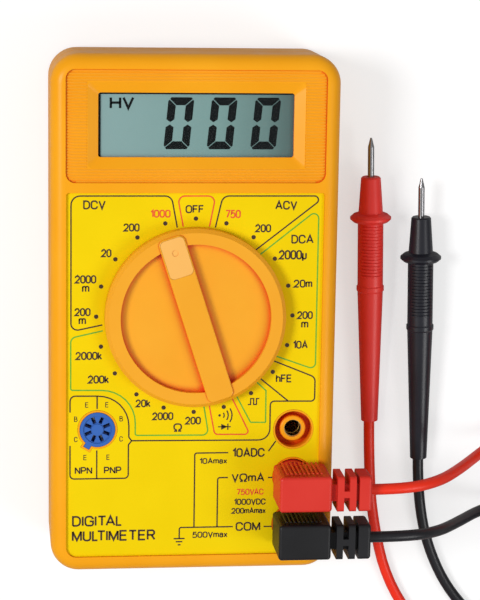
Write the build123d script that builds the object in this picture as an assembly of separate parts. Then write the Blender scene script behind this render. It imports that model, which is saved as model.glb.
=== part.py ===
"""Pocket digital multimeter with its two test leads, lying on its back.

Millimetres. +Z is the normal of the front face, +Y runs from the jacks to the display, +X to the right.
The origin is the centre of the flat back. Every separate piece of the meter is its own node.
"""
from build123d import *
from math import cos, pi, radians, sin, tan
import os

os.makedirs("parts", exist_ok=True)

# ---- driving dimensions -------------------------------------------------------------------------
CASE_WIDTH = 70.0
CASE_LENGTH = 128.0
CASE_CORNER = 7.0
RIM_TOP = 25.5              # highest part of the front shell's rounded rim
RIM_ROUND = 3.5
SPLIT_Z = 12.5              # parting line between the two shells
SPLIT_BEVEL = 0.3           # on both shells, so that the line shows as a fine groove
WALL = 2.0
FRONT_INSIDE = 22.3         # underside of the front wall
REAR_FLOOR = 1.8
BAY_FLOOR = 1.3             # the rear shell is thinner under the battery

LABEL_TOP = 24.8
LABEL_THICK = 0.3
LABEL_LEFT, LABEL_RIGHT = -31.3, 31.3
LABEL_BOTTOM, LABEL_UPPER = -60.0, 30.8
LABEL_CORNER = 2.6

PANEL_TOP = 24.9            # surface round the display
PANEL_WIDTH, PANEL_LENGTH, PANEL_Y = 62.8, 27.2, 46.8
WINDOW_WIDTH, WINDOW_LENGTH, WINDOW_Y = 47.2, 15.5, 47.0
WINDOW_BEVEL = 2.6          # width of the sloping frame round the window
LENS_TOP, LENS_BOTTOM = 23.8, 23.0
LCD_WIDTH, LCD_LENGTH = 50.6, 19.0
LCD_TOP, LCD_JOIN, LCD_BOTTOM = 22.9, 21.95, 21.0

DIAL_Y = 0.5                # centre of the rotary switch
DETENTS = 20
POINTER_ANGLE = 108.0       # the pointer stands one detent left of straight up
KNOB_RADIUS = 22.0
KNOB_DISC_RADIUS = 18.3     # floor of the finger recess
KNOB_BOTTOM, KNOB_RIM_TOP, KNOB_BAR_TOP, KNOB_FLOOR = 25.1, 29.0, 29.5, 27.0
BAR_WIDTH, BAR_CORNER = 6.6, 1.5
BAR_END = KNOB_RADIUS - 1.0
INSERT_LENGTH, INSERT_DEPTH = 9.6, 0.6      # pale marker let into the pointer's end
STEM_RADIUS, STEM_BOTTOM = 16.0, 20.6
DETENT_RING_INNER, DETENT_RING_OUTER = 16.3, 18.8
SCALLOP_RADIUS, SCALLOP_DEPTH = 1.6, 0.5
BALL_RADIUS, BALL_Z = 1.4, 22.3
BALL_ORBIT = DETENT_RING_INNER - BALL_RADIUS - 0.1
BALL_BORE = BALL_RADIUS + 0.08

BOARD_TOP, BOARD_BOTTOM = 19.8, 18.6
JACK_X = 24.8
JACK_YS = (-28.2, -40.3, -52.4)     # 10 A, volt-ohm-milliamp, common
JACK_NAMES = ("jack_10a", "jack_voltage", "jack_common")
WELL_RADIUS, WELL_FLOOR, WELL_BOTTOM = 4.6, 21.0, 20.3
POST_RADIUS, POST_TOP, POST_HOLE = 3.3, 23.8, 2.2
SOCKET_BORE, SOCKET_OUTER, SOCKET_BOTTOM, SOCKET_TOP = 2.0, 2.85, 7.5, 20.2

HFE_X, HFE_Y, HFE_RADIUS = -23.6, -27.7, 4.3
HFE_KEY_ANGLE, HFE_KEY_REACH, HFE_KEY_WIDTH = 239.0, 5.3, 1.5
HFE_SLOT, HFE_SLOT_HALF = (1.6, 3.25), 0.45     # where a transistor's legs go in
HFE_BOSS, HFE_RING = 1.4, 3.5                   # raised middle, and inside of the raised edge

BOARD_SCREWS = ((-28.5, 28.5), (28.5, 28.5), (-28.5, -50.0))
CASE_SCREWS = ((-29.3, -14.0), (29.3, -14.0))

BATTERY_X, BATTERY_Y = (-26.7, 19.3), (33.9, 60.4)
BATTERY_Z = (1.4, 18.4)

PLUG_GAP = 1.0              # between the plug's body and the label
PLUG_TOP = 39.2
PLUG_LEFT, PLUG_RIGHT = -4.95, 7.9      # from the jack's axis
PLUG_WIDTH, PLUG_OFFSET_Y = 8.8, -0.8
PIN_RADIUS, PIN_BOTTOM, PIN_TOP = 1.95, 8.5, 27.5
RELIEF_END = 17.7           # from the jack's axis
RELIEF_RIBS = ((1.3, 2.9), (4.3, 5.9), (6.7, 9.8))      # from the plug's body
CORD_RADIUS = 1.4
CORD_EXIT_Z = 34.8

PROBE_LENGTH = 74.0
PROBE_PIN = 10.0            # bare needle
PROBE_FLANGE_RADIUS, PROBE_FLANGE_AT, PROBE_FLANGE_THICK = 5.2, 19.6, 1.9
PROBE_GRIP_RADIUS, PROBE_GRIP_END = 3.25, 38.0
PROBE_REAR_RADIUS = 2.15
PROBE_TURN = 1.75           # degrees that each probe is turned from the Y axis
RED_TIP = (45.6, 42.2)
BLACK_TIP = (58.8, 32.0)

COIL_OUTER, COIL_HEIGHT = 21.5, 5.8
RED_COIL = (110.0, -20.0)
BLACK_COIL = (106.0, -73.2)
COIL_TURN_OUTER = 20.0      # centre line of the outermost turn

NODES = {}


# ---- helpers ------------------------------------------------------------------------------------
def block(x, y, z):
    """A box between pairs of limits."""
    size = (x[1] - x[0], y[1] - y[0], z[1] - z[0])
    return Pos((x[0] + x[1]) / 2, (y[0] + y[1]) / 2, (z[0] + z[1]) / 2) * Box(*size)


def post(x, y, z, radius):
    """An upright cylinder between two heights."""
    return Pos(x, y, (z[0] + z[1]) / 2) * Cylinder(radius, z[1] - z[0])


def rod(x, y, z, radius):
    """A cylinder along X."""
    return Pos((x[0] + x[1]) / 2, y, z) * Rot(0, 90, 0) * Cylinder(radius, x[1] - x[0])


def slab(width, length, corner, z, x=0.0, y=0.0):
    """A plate with rounded upright corners."""
    outline = Pos(x, y, z[0]) * RectangleRounded(width, length, corner)
    return extrude(outline, z[1] - z[0])


def at_angle(radius, degrees):
    """A point on a circle round the dial's centre."""
    return radius * cos(radians(degrees)), DIAL_Y + radius * sin(radians(degrees))


def save(name, shape):
    """Write one node."""
    NODES[name] = shape
    export_step(shape, f"parts/{name}.step")


def group(solids):
    """Several separate solids in one node."""
    return Compound(children=list(solids))


# ---- shells -------------------------------------------------------------------------------------
def front_case():
    shell = slab(CASE_WIDTH, CASE_LENGTH, CASE_CORNER, (SPLIT_Z, RIM_TOP))
    shell = fillet(shell.faces().sort_by(Axis.Z)[-1].edges(), RIM_ROUND)
    shell = chamfer(shell.faces().sort_by(Axis.Z)[0].edges(), SPLIT_BEVEL)
    shell -= slab(CASE_WIDTH - 2 * WALL, CASE_LENGTH - 2 * WALL, CASE_CORNER - WALL, (SPLIT_Z, FRONT_INSIDE))
    shell -= label_outline(LABEL_TOP - LABEL_THICK, RIM_TOP)
    shell -= slab(PANEL_WIDTH, PANEL_LENGTH, 2.3, (PANEL_TOP, RIM_TOP), y=PANEL_Y)
    shell -= slab(LCD_WIDTH + 3.4, LCD_LENGTH + 3.0, 1.0, (FRONT_INSIDE, LENS_BOTTOM), y=WINDOW_Y)
    shell -= slab(WINDOW_WIDTH, WINDOW_LENGTH, 0.6, (FRONT_INSIDE, RIM_TOP), y=WINDOW_Y)
    bevel_floor = Pos(0, WINDOW_Y, LENS_TOP) * RectangleRounded(WINDOW_WIDTH, WINDOW_LENGTH, 0.6)
    grown = 2 * WINDOW_BEVEL
    bevel_top = Pos(0, WINDOW_Y, PANEL_TOP) * RectangleRounded(
        WINDOW_WIDTH + grown, WINDOW_LENGTH + grown, 1.2)
    shell -= loft([bevel_floor.face(), bevel_top.face()])
    shell += post(0, DIAL_Y, (STEM_BOTTOM, FRONT_INSIDE), DETENT_RING_OUTER)
    for jack_y in JACK_YS:
        shell += post(JACK_X, jack_y, (WELL_BOTTOM, FRONT_INSIDE), WELL_RADIUS + 1.2)
        shell += post(JACK_X, jack_y, (FRONT_INSIDE, LABEL_TOP + 0.05), WELL_RADIUS + 0.4)
    for x, y in BOARD_SCREWS:
        shell += post(x, y, (BOARD_TOP, FRONT_INSIDE), 3.0)
    for x, y in CASE_SCREWS:
        shell += post(x, y, (SPLIT_Z + 0.1, FRONT_INSIDE), 3.2)
    shell -= post(0, DIAL_Y, (STEM_BOTTOM, RIM_TOP), DETENT_RING_INNER)
    for step in range(DETENTS):
        x, y = at_angle(DETENT_RING_INNER + SCALLOP_DEPTH - SCALLOP_RADIUS, step * 360 / DETENTS)
        shell -= post(x, y, (STEM_BOTTOM, LABEL_TOP), SCALLOP_RADIUS)
    for jack_y in JACK_YS:
        moat = post(JACK_X, jack_y, (WELL_FLOOR, RIM_TOP), WELL_RADIUS)
        island = post(JACK_X, jack_y, (WELL_FLOOR, POST_TOP), POST_RADIUS)
        shell -= moat - fillet(island.faces().sort_by(Axis.Z)[-1].edges(), 0.6)
        shell -= post(JACK_X, jack_y, (WELL_BOTTOM, RIM_TOP), POST_HOLE)
    shell += transistor_socket_outline(FRONT_INSIDE, LABEL_TOP + 0.1, 0.55)
    shell -= transistor_socket_outline(FRONT_INSIDE, RIM_TOP, 0.1)
    for x, y in BOARD_SCREWS:
        shell -= post(x, y, (BOARD_TOP, FRONT_INSIDE), 1.15)
    for x, y in CASE_SCREWS:
        shell -= post(x, y, (SPLIT_Z, FRONT_INSIDE - 1.0), 1.35)
    return shell


def label_outline(z_low, z_high):
    """The printed label's area: nearly square corners on top, rounded ones at the bottom."""
    width = LABEL_RIGHT - LABEL_LEFT
    length = LABEL_UPPER - LABEL_BOTTOM
    middle = (LABEL_UPPER + LABEL_BOTTOM) / 2
    plate = Pos(0, middle, (z_low + z_high) / 2) * Box(width, length, z_high - z_low)
    upright = plate.edges().filter_by(Axis.Z).sort_by(Axis.Y)
    plate = fillet(upright[:2], LABEL_CORNER)
    upright = plate.edges().filter_by(Axis.Z).sort_by(Axis.Y)
    return fillet(upright[-2:], 0.6)


def face_label():
    label = label_outline(LABEL_TOP - LABEL_THICK, LABEL_TOP)
    label -= post(0, DIAL_Y, (FRONT_INSIDE, RIM_TOP), DETENT_RING_OUTER)
    for jack_y in JACK_YS:
        label -= post(JACK_X, jack_y, (FRONT_INSIDE, RIM_TOP), WELL_RADIUS + 0.45)
    return label - transistor_socket_outline(FRONT_INSIDE, RIM_TOP, 0.6)


def rear_case():
    shell = slab(CASE_WIDTH, CASE_LENGTH, CASE_CORNER, (0, SPLIT_Z))
    shell = fillet(shell.faces().sort_by(Axis.Z)[0].edges(), 2.5)
    shell = chamfer(shell.faces().sort_by(Axis.Z)[-1].edges(), SPLIT_BEVEL)
    inside = 2 * WALL - 0.4
    shell -= slab(CASE_WIDTH - inside, CASE_LENGTH - inside, CASE_CORNER - WALL, (REAR_FLOOR, SPLIT_Z))
    bay_x = (BATTERY_X[0] - 0.3, 29.0)
    bay_y = (BATTERY_Y[0] - 0.3, BATTERY_Y[1] + 0.3)
    shell -= block(bay_x, bay_y, (BAY_FLOOR, SPLIT_Z))
    shell += block((bay_x[0] - 1.2, 29.0), (bay_y[0] - 1.2, bay_y[0]), (REAR_FLOOR, 15.0))
    shell += block((bay_x[0] - 1.2, bay_x[0]), (bay_y[0] - 1.2, 61.6), (REAR_FLOOR, 15.0))
    for side in (-1, 1):
        hook_x = sorted((side * 8.0, side * 16.0))
        shell += block(hook_x, (60.9, 62.3), (8.0, SPLIT_Z))
        shell += block(hook_x, (60.9, 61.8), (8.0, 16.0))
    for x, y in CASE_SCREWS:
        shell += post(x, y, (REAR_FLOOR, SPLIT_Z), 3.6)
        shell -= post(x, y, (0, 4.0), 2.9)
        shell -= post(x, y, (0, SPLIT_Z), 1.7)
    return shell


def screw(x, y, head, shank_top, head_radius, shank_radius):
    """A pan-head screw pointing up, with a cross recess in its head."""
    body = post(x, y, head, head_radius)
    body = fillet(body.faces().sort_by(Axis.Z)[0].edges(), 0.5)
    slot_z = (head[0], head[0] + 0.8)
    reach = head_radius * 0.6
    body -= block((x - reach, x + reach), (y - 0.3, y + 0.3), slot_z)
    body -= block((x - 0.3, x + 0.3), (y - reach, y + reach), slot_z)
    return body + post(x, y, (head[1], shank_top), shank_radius)


# ---- display ------------------------------------------------------------------------------------
def make_display():
    pane = slab(WINDOW_WIDTH - 0.1, WINDOW_LENGTH - 0.1, 0.5, (LENS_BOTTOM, LENS_TOP), y=WINDOW_Y)
    save("display_window", pane)
    save("lcd_front_glass", slab(LCD_WIDTH, LCD_LENGTH, 0.3, (LCD_JOIN, LCD_TOP), y=WINDOW_Y))
    save("lcd_rear_glass", slab(LCD_WIDTH, LCD_LENGTH, 0.3, (LCD_BOTTOM, LCD_JOIN), y=WINDOW_Y))
    frame = slab(LCD_WIDTH + 3.0, LCD_LENGTH + 2.6, 0.8, (BOARD_TOP, 22.2), y=WINDOW_Y)
    frame -= slab(LCD_WIDTH + 0.2, LCD_LENGTH + 0.2, 0.4, (LCD_BOTTOM, 22.2), y=WINDOW_Y)
    frame -= slab(LCD_WIDTH - 3.0, LCD_LENGTH - 3.0, 0.4, (BOARD_TOP, LCD_BOTTOM), y=WINDOW_Y)
    save("lcd_holder", frame)
    strip_y = WINDOW_Y - LCD_LENGTH / 2 + 1.7
    save("zebra_strip", block((-23.0, 23.0), (strip_y, strip_y + 1.8), (BOARD_TOP, LCD_BOTTOM)))


# ---- rotary switch ------------------------------------------------------------------------------
def pointer_frame(z):
    """A place at the dial's centre whose local X runs along the pointer."""
    return Pos(0, DIAL_Y, z) * Rot(0, 0, POINTER_ANGLE)


def range_knob():
    cap = post(0, DIAL_Y, (KNOB_BOTTOM, KNOB_RIM_TOP), KNOB_RADIUS)
    cap = chamfer(cap.faces().sort_by(Axis.Z)[-1].edges(), 0.9)
    recess = post(0, DIAL_Y, (KNOB_FLOOR, KNOB_BAR_TOP), KNOB_DISC_RADIUS)
    knob = (cap - recess) + pointer_bar() - pointer_insert(0.05)
    knob += post(0, DIAL_Y, (STEM_BOTTOM, KNOB_BOTTOM), STEM_RADIUS)
    knob -= post(0, DIAL_Y, (STEM_BOTTOM, BALL_Z + 2.0), 6.0)
    bore = pointer_frame(BALL_Z) * Rot(0, 90, 0) * Cylinder(BALL_BORE, 2 * STEM_RADIUS + 1.0)
    return knob - bore


def pointer_bar():
    """The raised grip across the knob, its upper edges softened."""
    outline = pointer_frame(KNOB_FLOOR) * RectangleRounded(2 * BAR_END, BAR_WIDTH, BAR_CORNER)
    bar = extrude(outline, KNOB_BAR_TOP - KNOB_FLOOR)
    return fillet(bar.faces().sort_by(Axis.Z)[-1].edges(), 0.35)


def pointer_insert(grow=0.0):
    """The marker in the pointer's end; grown a little, it is its own recess."""
    margin = 0.35
    width = BAR_WIDTH - 2 * margin + 2 * grow
    middle = BAR_END - margin - INSERT_LENGTH / 2
    outline = pointer_frame(KNOB_BAR_TOP - INSERT_DEPTH - grow) * Pos(middle, 0, 0) * RectangleRounded(
        INSERT_LENGTH + 2 * grow, width, BAR_CORNER - margin)
    return extrude(outline, INSERT_DEPTH + grow)


def make_switch():
    save("range_knob", range_knob())
    dimple = pointer_frame(KNOB_BAR_TOP) * Pos(BAR_END - 3.9, 0, 0) * Cylinder(0.8, 0.5)
    save("pointer_insert", pointer_insert() - dimple)
    for side, name in ((1, "detent_ball_front"), (-1, "detent_ball_back")):
        save(name, pointer_frame(BALL_Z) * Pos(side * BALL_ORBIT, 0, 0) * Sphere(BALL_RADIUS))
    save("detent_springs", group(detent_spring(side) for side in (-1, 1)))
    save("wiper_contacts", group(wiper(angle) for angle in (18.0, 138.0, 258.0)))


def detent_spring(side):
    """A small coil spring in the knob's cross bore, pressing one ball outwards."""
    turns = 6
    length = BALL_ORBIT - BALL_RADIUS - 6.6
    path = Helix(pitch=length / turns, height=length, radius=0.95)
    section = Plane(origin=path @ 0, z_dir=path % 0) * Circle(0.16)
    spring = sweep(section, path=path)
    return pointer_frame(BALL_Z) * Rot(0, 90 * side, 0) * Pos(0, 0, 6.4) * spring


def wiper(angle):
    """A bridging contact that slides on the board's rings."""
    x, y = at_angle(10.5, angle)
    place = Pos(x, y, 0) * Rot(0, 0, angle)
    strip = place * Pos(0, 0, STEM_BOTTOM - 0.15) * Box(7.0, 1.4, 0.3)
    for end in (-2.8, 2.8):
        strip += place * Pos(end, 0, BOARD_TOP + 0.35) * Box(1.0, 1.2, 0.5)
    return strip


# ---- sockets ------------------------------------------------------------------------------------
def make_jacks():
    for name, jack_y in zip(JACK_NAMES, JACK_YS):
        socket = post(JACK_X, jack_y, (SOCKET_BOTTOM, SOCKET_TOP), SOCKET_OUTER)
        socket += post(JACK_X, jack_y, (BOARD_TOP, SOCKET_TOP), 4.2)
        save(name, socket - post(JACK_X, jack_y, (SOCKET_BOTTOM, SOCKET_TOP), SOCKET_BORE))


def transistor_socket_outline(z_low, z_high, grow=0.0):
    """A round body with one key on its rim."""
    body = post(HFE_X, HFE_Y, (z_low, z_high), HFE_RADIUS + grow)
    half = HFE_KEY_WIDTH / 2 + grow
    key = block((HFE_RADIUS - 1.0, HFE_KEY_REACH + grow), (-half, half), (z_low, z_high))
    return body + Pos(HFE_X, HFE_Y, 0) * Rot(0, 0, HFE_KEY_ANGLE) * key


def make_transistor_socket():
    top = LABEL_TOP + 0.2
    body = transistor_socket_outline(BOARD_TOP, top)
    body -= post(HFE_X, HFE_Y, (top - 0.35, top), HFE_RING) - post(HFE_X, HFE_Y, (top - 0.35, top), HFE_BOSS)
    half = HFE_SLOT_HALF
    inner, outer = HFE_SLOT
    pins = []
    for step in range(8):
        place = Pos(HFE_X, HFE_Y, 0) * Rot(0, 0, 22.5 + 45 * step)
        body -= place * block(HFE_SLOT, (-half, half), (21.4, top))
        pins.append(place * block((inner + 0.1, outer - 0.1), (-0.2, 0.2), (17.4, 21.2)))
        body -= place * block((inner + 0.05, outer - 0.05), (-0.25, 0.25), (BOARD_TOP, 21.4))
    save("hfe_socket", body)
    save("hfe_contacts", group(pins))


# ---- circuit board ------------------------------------------------------------------------------
def circuit_board():
    board = slab(64.4, 122.4, 4.0, (BOARD_BOTTOM, BOARD_TOP))
    for x, y in CASE_SCREWS:
        outward = sorted((x, x * 1.2))
        board -= post(x, y, (BOARD_BOTTOM, BOARD_TOP), 3.9)
        board -= block(outward, (y - 3.9, y + 3.9), (BOARD_BOTTOM, BOARD_TOP))
    for x, y in BOARD_SCREWS:
        board -= post(x, y, (BOARD_BOTTOM, BOARD_TOP), 1.3)
    for jack_y in JACK_YS:
        board -= post(JACK_X, jack_y, (BOARD_BOTTOM, BOARD_TOP), SOCKET_OUTER + 0.05)
    for step in range(8):
        place = Pos(HFE_X, HFE_Y, 0) * Rot(0, 0, 22.5 + 45 * step)
        board -= place * block(HFE_SLOT, (-0.3, 0.3), (BOARD_BOTTOM, BOARD_TOP))
    return board


def axial_part(x, y, radius, length, pitch):
    """A small part lying under the board on two bent wires."""
    z = BOARD_BOTTOM - 0.3 - radius
    body = rod((x - length / 2, x + length / 2), y, z, radius)
    body = fillet(body.edges().filter_by(GeomType.CIRCLE), radius * 0.35)
    body += rod((x - pitch / 2, x + pitch / 2), y, z, 0.26)
    for end in (-1, 1):
        body += post(x + end * pitch / 2, y, (z - 0.4, BOARD_BOTTOM), 0.32)
    return body


def disc_part(x, y, radius, thickness):
    """A disc capacitor standing under the board on two wires."""
    z = BOARD_BOTTOM - 1.6 - radius
    body = Pos(x, y, z) * Rot(90, 0, 0) * Cylinder(radius, thickness)
    body = fillet(body.edges().filter_by(GeomType.CIRCLE), thickness * 0.35)
    for end in (-1.6, 1.6):
        body += post(x + end, y, (z, BOARD_BOTTOM), 0.3)
    return body


def make_board_parts():
    save("circuit_board", circuit_board())
    blob = post(-4.0, -34.0, (BOARD_BOTTOM - 1.6, BOARD_BOTTOM), 7.5)
    save("chip_blob", fillet(blob.faces().sort_by(Axis.Z)[0].edges(), 1.4))
    resistors = []
    for column in range(2):
        for row in range(6):
            resistors.append(axial_part(-18.0 + 13.5 * column, 13.0 - 4.6 * row, 1.15, 6.2, 9.6))
    save("resistors", group(resistors))
    save("capacitors", group([disc_part(10.0, 17.0, 2.6, 2.2), disc_part(19.0, 17.0, 2.6, 2.2),
                              disc_part(9.5, -20.0, 2.6, 2.2), disc_part(-20.0, -40.0, 2.6, 2.2)]))
    save("diode", axial_part(12.0, 8.0, 1.3, 4.6, 9.6))
    can = post(20.0, 8.0, (12.6, 17.2), 2.4) - block((17.0, 23.0), (9.2, 11.0), (12.0, 18.0))
    for lead in (-1.27, 0, 1.27):
        can += post(20.0 + lead, 8.0, (17.2, BOARD_BOTTOM), 0.25)
    save("transistor", can)
    buzzer = post(-20.0, 24.5, (11.2, BOARD_BOTTOM), 6.0)
    save("buzzer", buzzer - post(-20.0, 24.5, (11.2, 13.0), 1.1))


def make_trimmer():
    x, y = 14.0, -8.0
    body = block((x - 3.3, x + 3.3), (y - 3.3, y + 3.3), (15.1, BOARD_BOTTOM))
    save("trimmer_body", body - post(x, y, (15.1, 17.3), 2.3))
    rotor = post(x, y, (14.5, 17.2), 2.0)
    save("trimmer_rotor", rotor - block((x - 1.4, x + 1.4), (y - 0.3, y + 0.3), (14.5, 15.4)))


def make_fuse():
    y, z = 26.6, 15.0
    save("fuse_tube", rod((-8.0, 12.0), y, z, 2.3))
    caps = []
    clips = []
    for x in ((-8.4, -3.4), (7.4, 12.4)):
        inner = (-8.0, -3.4) if x[0] < 0 else (7.4, 12.0)
        caps.append(rod(x, y, z, 2.6) - rod(inner, y, z, 2.3))
        clip_x = (x[0] + 0.8, x[1] - 0.8)
        clip = block(clip_x, (y - 3.2, y + 3.2), (z - 1.6, BOARD_BOTTOM))
        clips.append(clip - rod(x, y, z, 2.62))
    save("fuse_caps", group(caps))
    save("fuse_clips", group(clips))
    x = 17.6
    shunt = [(x, JACK_YS[0], BOARD_BOTTOM), (x, JACK_YS[0], 12.0),
             (x, JACK_YS[2], 12.0), (x, JACK_YS[2], BOARD_BOTTOM)]
    save("shunt_wire", wire(shunt, 0.9, 3.5))


def wire(points, radius, bend):
    """A round wire along straight runs with equal bends."""
    path = FilletPolyline(*points, radius=bend)
    return sweep(Plane(origin=path @ 0, z_dir=path % 0) * Circle(radius), path=path)


def make_battery():
    body = block(BATTERY_X, BATTERY_Y, BATTERY_Z)
    save("battery", fillet(body.edges().filter_by(Axis.X), 1.6))
    middle_y = sum(BATTERY_Y) / 2
    middle_z = sum(BATTERY_Z) / 2
    face = BATTERY_X[1]
    studs = [rod((face, face + 2.4), middle_y - 6.4, middle_z, 2.9),
             rod((face, face + 2.4), middle_y + 6.4, middle_z, 4.0)]
    save("battery_terminals", group(studs))
    cap = block((face + 2.4, face + 5.4), (middle_y - 12.0, middle_y + 12.0),
                (middle_z - 5.6, middle_z + 5.6))
    save("battery_snap", fillet(cap.edges().filter_by(Axis.X), 2.0))
    for name, offset in (("battery_wire_red", 4.0), ("battery_wire_black", -4.0)):
        y = middle_y + offset
        start = (face + 5.4, y, middle_z)
        save(name, wire([start, (28.8, y, middle_z), (28.8, y, BOARD_BOTTOM)], 0.75, 2.6))


# ---- test leads ---------------------------------------------------------------------------------
def plug_body(jack_y):
    middle = jack_y + PLUG_OFFSET_Y
    low = LABEL_TOP + PLUG_GAP
    body = block((JACK_X + PLUG_LEFT, JACK_X + PLUG_RIGHT),
                 (middle - PLUG_WIDTH / 2, middle + PLUG_WIDTH / 2), (low, PLUG_TOP))
    body = fillet(body.edges(), 0.8)
    body += post(JACK_X, jack_y, (WELL_FLOOR + 0.5, low + 1.0), 4.3) - post(
        JACK_X, jack_y, (WELL_FLOOR, low), POST_RADIUS + 0.25)
    return body - post(JACK_X, jack_y, (low, PIN_TOP), PIN_RADIUS)


def strain_relief(jack_y):
    """Three soft blocks on a core, joined by a web, so that the cord can bend as it leaves the plug."""
    start = JACK_X + PLUG_RIGHT
    middle = jack_y + PLUG_OFFSET_Y
    half = PLUG_WIDTH / 2
    z = (PLUG_TOP - PLUG_WIDTH, PLUG_TOP)
    core = block((start, JACK_X + RELIEF_END - 1.0), (middle - 2.1, middle + 2.1),
                 (CORD_EXIT_Z - 2.6, CORD_EXIT_Z + 2.6))
    for low, high in RELIEF_RIBS:
        rib = block((start + low, start + high), (middle - half, middle + half), z)
        rib = fillet(rib.edges().filter_by(Axis.X), 0.9)
        if high == RELIEF_RIBS[-1][1]:
            rib = fillet(rib.faces().sort_by(Axis.X)[-1].edges(), 0.8)
        core += rib
    web = (start + RELIEF_RIBS[0][1], start + RELIEF_RIBS[1][0])
    return core + block(web, (middle - 0.8, middle + 0.8), z)


def probe_handle(tip):
    """The moulded handle: nose, thin finger guard, straight grip, collar and long rear taper."""
    guard = PROBE_FLANGE_AT
    behind = guard + PROBE_FLANGE_THICK
    grip = PROBE_GRIP_RADIUS
    outline = [(0.0, PROBE_PIN), (2.2, PROBE_PIN), (2.5, PROBE_PIN + 0.35), (3.1, guard - 0.5),
               (PROBE_FLANGE_RADIUS - 0.8, guard), (PROBE_FLANGE_RADIUS, guard + 0.7),
               (PROBE_FLANGE_RADIUS, behind - 0.7), (PROBE_FLANGE_RADIUS - 0.8, behind),
               (grip, behind + 0.3), (grip, PROBE_GRIP_END), (grip + 0.25, PROBE_GRIP_END + 0.3),
               (grip + 0.25, PROBE_GRIP_END + 1.3), (grip, PROBE_GRIP_END + 1.7),
               (PROBE_REAR_RADIUS, PROBE_LENGTH), (0.0, PROBE_LENGTH)]
    face = make_face(Polyline(*[(radius, -along) for radius, along in outline], close=True))
    return lay_down(revolve(face, Axis.Y), tip)


def probe_needle(tip):
    outline = [(0.0, 0.0), (0.25, 0.15), (0.8, 2.4), (0.8, PROBE_PIN), (0.0, PROBE_PIN)]
    face = make_face(Polyline(*[(radius, -along) for radius, along in outline], close=True))
    return lay_down(revolve(face, Axis.Y), tip)


def lay_down(shape, tip):
    """Rest a probe on its guard and its rear end, tip towards +Y."""
    drop = (PROBE_FLANGE_RADIUS - PROBE_REAR_RADIUS) / (PROBE_LENGTH - PROBE_FLANGE_AT - 0.9)
    tip_z = PROBE_FLANGE_RADIUS + 0.05 + drop * (PROBE_FLANGE_AT + 0.9)
    return Pos(tip[0], tip[1], tip_z) * Rot(0, 0, PROBE_TURN) * Rot(180 / pi * drop, 0, 0) * shape


def probe_exit(tip):
    """The first two points of the cord at a probe's rear end, the second straight behind the first."""
    rear = probe_handle(tip).faces().filter_by(GeomType.PLANE).sort_by(Axis.Y)[0]
    start = rear.center()
    return tuple(start), tuple(start + rear.normal_at() * 9.0)


def cord_tube(name, points):
    """A cord along straight runs, each corner rounded as widely as its two runs allow."""
    radii = []
    corners = [Vector(*p) for p in points]
    for before, at, after in zip(corners, corners[1:], corners[2:]):
        runs = (at - before, after - at)
        turn = radians(runs[0].get_angle(runs[1]))
        radii.append(0.45 * min(runs[0].length, runs[1].length) / tan(turn / 2))
    path = FilletPolyline(*points, radius=radii)
    tube = sweep(Plane(origin=path @ 0, z_dir=path % 0) * Circle(CORD_RADIUS), path=path)
    share = tube.volume / (pi * CORD_RADIUS ** 2 * path.length)
    print(f"{name}: length {path.length:.1f}, volume share {share:.4f}, radii", [round(r, 1) for r in radii])
    save(name, tube)


def coil(x, y, turns):
    """The outer shape of a flat two-layer coil."""
    inner = COIL_TURN_OUTER - 2.9 * turns / 2 - CORD_RADIUS
    return post(x, y, (0, COIL_HEIGHT), COIL_OUTER) - post(x, y, (0, COIL_HEIGHT), inner)


def make_lead(colour, jack_y, tip):
    save(f"{colour}_plug_body", plug_body(jack_y))
    save(f"{colour}_strain_relief", strain_relief(jack_y))
    save(f"{colour}_plug_pin", fillet(post(JACK_X, jack_y, (PIN_BOTTOM, PIN_TOP), PIN_RADIUS)
                                      .faces().sort_by(Axis.Z)[0].edges(), 0.9))
    save(f"{colour}_probe_handle", probe_handle(tip))
    save(f"{colour}_probe_needle", probe_needle(tip))


def make_cords():
    red_y = JACK_YS[1] + PLUG_OFFSET_Y
    black_y = JACK_YS[2] + PLUG_OFFSET_Y
    exit_x = JACK_X + RELIEF_END
    floor = CORD_RADIUS
    layer = CORD_RADIUS * 3
    red_rear, red_behind = probe_exit(RED_TIP)
    black_rear, black_behind = probe_exit(BLACK_TIP)
    cord_tube("red_cord_plug_run", [
        (exit_x, red_y, CORD_EXIT_Z), (52, red_y, CORD_EXIT_Z), (61, -40.6, 30), (68, -40.2, 20.5),
        (74.5, -39.6, 10.5), (81.5, -37.3, 3.5), (87.6, -30.5, floor + 0.1),
        (RED_COIL[0] - COIL_TURN_OUTER, RED_COIL[1], floor)])
    cord_tube("black_cord_plug_run", [
        (exit_x, black_y, CORD_EXIT_Z), (52, black_y, CORD_EXIT_Z), (61, -54, 29), (68.5, -54.7, 18.5),
        (76.5, -54.7, 8), (86, -54, 2.6), (95.5, -53.5, floor + 0.1),
        (BLACK_COIL[0], BLACK_COIL[1] + COIL_TURN_OUTER, floor)])
    cord_tube("red_cord_probe_run", [
        (RED_COIL[0] + COIL_TURN_OUTER, RED_COIL[1], layer), (130.6, -33, 3.2), (133.2, -50, floor),
        (132.5, -72, floor), (124, -91, floor), (107, -102.5, floor), (86, -103, floor),
        (67, -94, floor), (54, -77, floor), (49.2, -57, floor), red_behind, red_rear])
    cord_tube("black_cord_probe_run", [
        (BLACK_COIL[0], BLACK_COIL[1] - COIL_TURN_OUTER, layer), (94, -93.8, 2.9), (81, -89.5, floor),
        (70.5, -79, floor), (64, -65.5, floor), black_behind, black_rear])
    save("red_cord_coil", coil(*RED_COIL, 4.5))
    save("black_cord_coil", coil(*BLACK_COIL, 5.5))


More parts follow.
